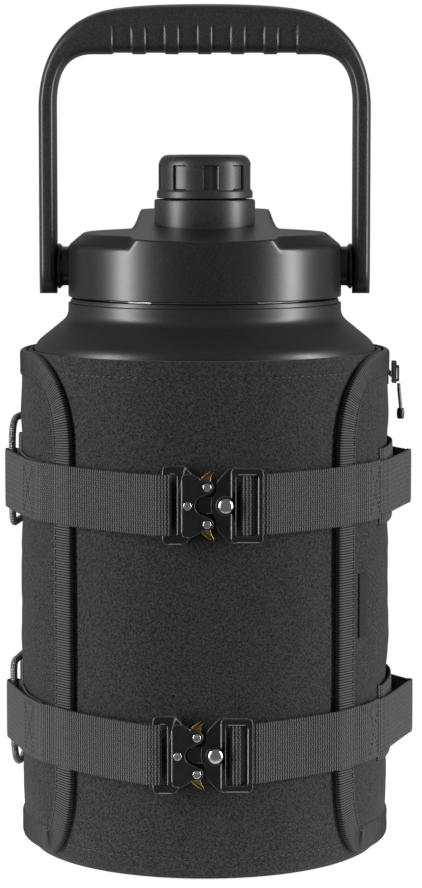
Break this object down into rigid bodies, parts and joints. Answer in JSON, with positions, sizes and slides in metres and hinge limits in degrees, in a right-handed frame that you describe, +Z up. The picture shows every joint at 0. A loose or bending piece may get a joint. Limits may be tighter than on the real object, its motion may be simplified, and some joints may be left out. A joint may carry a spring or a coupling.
{
  "type": "insulated water jug",
  "caption": "Large insulated jug with a screw lid, spout cap and swinging handle, in a padded sleeve with webbing straps and metal buckles.",
  "frame": {"origin": "centre of the sleeve's underside, on the surface that the jug stands on", "axes": "+Z up along the bottle's axis, -Y towards the side with the buckles, +X to the right seen from that side"},
  "size_m": [0.1841, 0.1718, 0.3767],
  "materials": {
    "powder_coat": "matt black textured powder coat",
    "steel_shell": "brushed stainless steel",
    "moulded_plastic": "fine matt moulding texture",
    "insulating_foam": "moulded foam",
    "silicone": "matt silicone",
    "sleeve_cloth": "plain woven coated cloth",
    "ribbed_tape": "ribbed binding tape",
    "webbing": "ribbed woven webbing",
    "anodised": "satin black anodised",
    "rivet_steel": "polished steel",
    "lever_brass": "satin brass",
    "reflective_cord": "braided cord with pale flecks",
    "woven_label": "dense satin weave",
    "zip_metal": "black enamel"
  },
  "bodies": {
    "sleeve": {"sleeve_tube": "sleeve_cloth", "sleeve_base": "sleeve_cloth", "pocket_left": "sleeve_cloth", "pocket_right": "sleeve_cloth", "binding_left_front": "ribbed_tape", "binding_left_back": "ribbed_tape", "binding_right_front": "ribbed_tape", "binding_right_back": "ribbed_tape", "label_tag": "woven_label", "zipper_tape": "ribbed_tape", "zipper_coil": "moulded_plastic", "upper_strap_left": "webbing", "upper_side_loop": "webbing", "upper_rear_band": "webbing", "upper_cord_ring": "reflective_cord", "upper_buckle_receiver": "anodised", "upper_buckle_cover": "anodised", "upper_rivet_top": "rivet_steel", "upper_rivet_bottom": "rivet_steel", "upper_rivet_left": "rivet_steel", "upper_spring_top": "rivet_steel", "upper_spring_bottom": "rivet_steel", "lower_strap_left": "webbing", "lower_side_loop": "webbing", "lower_rear_band": "webbing", "lower_cord_ring": "reflective_cord", "lower_buckle_receiver": "anodised", "lower_buckle_cover": "anodised", "lower_rivet_top": "rivet_steel", "lower_rivet_bottom": "rivet_steel", "lower_rivet_left": "rivet_steel", "lower_spring_top": "rivet_steel", "lower_spring_bottom": "rivet_steel"},
    "bottle": {"outer_shell": "powder_coat", "inner_liner": "steel_shell", "base_plate": "steel_shell", "vacuum_getter": "steel_shell"},
    "lid_seal": {"lid_gasket": "silicone"},
    "lid": {"lid_shell": "moulded_plastic", "lid_plug": "moulded_plastic", "lid_foam": "insulating_foam", "spout_neck": "moulded_plastic", "pivot_pin_left": "moulded_plastic", "pivot_pin_right": "moulded_plastic"},
    "handle": {"handle": "moulded_plastic"},
    "cap_seal": {"cap_gasket": "silicone"},
    "cap": {"spout_cap": "moulded_plastic"},
    "zip_slider": {"zipper_slider": "zip_metal", "zipper_pull_cord": "reflective_cord"},
    "upper_clip": {"upper_buckle_adjuster": "anodised", "upper_adjuster_stud": "rivet_steel", "upper_strap_right": "webbing"},
    "upper_lever_top": {"upper_lever_top": "lever_brass"},
    "upper_lever_bottom": {"upper_lever_bottom": "lever_brass"},
    "lower_clip": {"lower_buckle_adjuster": "anodised", "lower_adjuster_stud": "rivet_steel", "lower_strap_right": "webbing"},
    "lower_lever_top": {"lower_lever_top": "lever_brass"},
    "lower_lever_bottom": {"lower_lever_bottom": "lever_brass"}
  },
  "joints": [
    {"name": "bottle_lift", "type": "slide", "parent": "sleeve", "child": "bottle", "axis": [0, 0, 1], "range_m": [0, 0.26]},
    {"name": "lid_rise", "type": "slide", "parent": "bottle", "child": "lid_seal", "axis": [0, 0, 1], "range_m": [0, 0.06]},
    {"name": "lid_turn", "type": "hinge", "parent": "lid_seal", "child": "lid", "pos_m": [0, 0, 0.25], "axis": [0, 0, 1], "range_deg": [0, 2699.5]},
    {"name": "handle_swing", "type": "hinge", "parent": "lid", "child": "handle", "pos_m": [0, 0, 0.2608], "axis": [1, 0, 0], "range_deg": [-105, 105]},
    {"name": "cap_rise", "type": "slide", "parent": "lid", "child": "cap_seal", "axis": [0, 0, 1], "range_m": [0, 0.025]},
    {"name": "cap_turn", "type": "hinge", "parent": "cap_seal", "child": "cap", "pos_m": [0, 0, 0.3], "axis": [0, 0, 1], "range_deg": [0, 1799.5]},
    {"name": "zip_slide", "type": "hinge", "parent": "sleeve", "child": "zip_slider", "pos_m": [0, 0, 0.2125], "axis": [0, 0, 1], "range_deg": [0, 12]},
    {"name": "upper_release", "type": "slide", "parent": "sleeve", "child": "upper_clip", "axis": [1, 0, 0], "range_m": [0, 0.016]},
    {"name": "upper_press_top", "type": "hinge", "parent": "sleeve", "child": "upper_lever_top", "pos_m": [0.0011, -0.0827, 0.1712], "axis": [0, 1, 0], "range_deg": [0, 8], "stiffness_Nm_per_rad": 0.02},
    {"name": "upper_press_bottom", "type": "hinge", "parent": "sleeve", "child": "upper_lever_bottom", "pos_m": [0.0011, -0.0827, 0.1554], "axis": [0, -1, 0], "range_deg": [0, 8], "stiffness_Nm_per_rad": 0.02},
    {"name": "lower_release", "type": "slide", "parent": "sleeve", "child": "lower_clip", "axis": [1, 0, 0], "range_m": [0, 0.016]},
    {"name": "lower_press_top", "type": "hinge", "parent": "sleeve", "child": "lower_lever_top", "pos_m": [-0.0032, -0.0827, 0.0638], "axis": [0, 1, 0], "range_deg": [0, 8], "stiffness_Nm_per_rad": 0.02},
    {"name": "lower_press_bottom", "type": "hinge", "parent": "sleeve", "child": "lower_lever_bottom", "pos_m": [-0.0032, -0.0827, 0.048], "axis": [0, -1, 0], "range_deg": [0, 8], "stiffness_Nm_per_rad": 0.02}
  ],
  "couplings": [
    {"joint": "lid_rise", "follows": "lid_turn", "m_per_rad": 0.0012732},
    {"joint": "cap_rise", "follows": "cap_turn", "m_per_rad": 0.00079577}
  ]
}
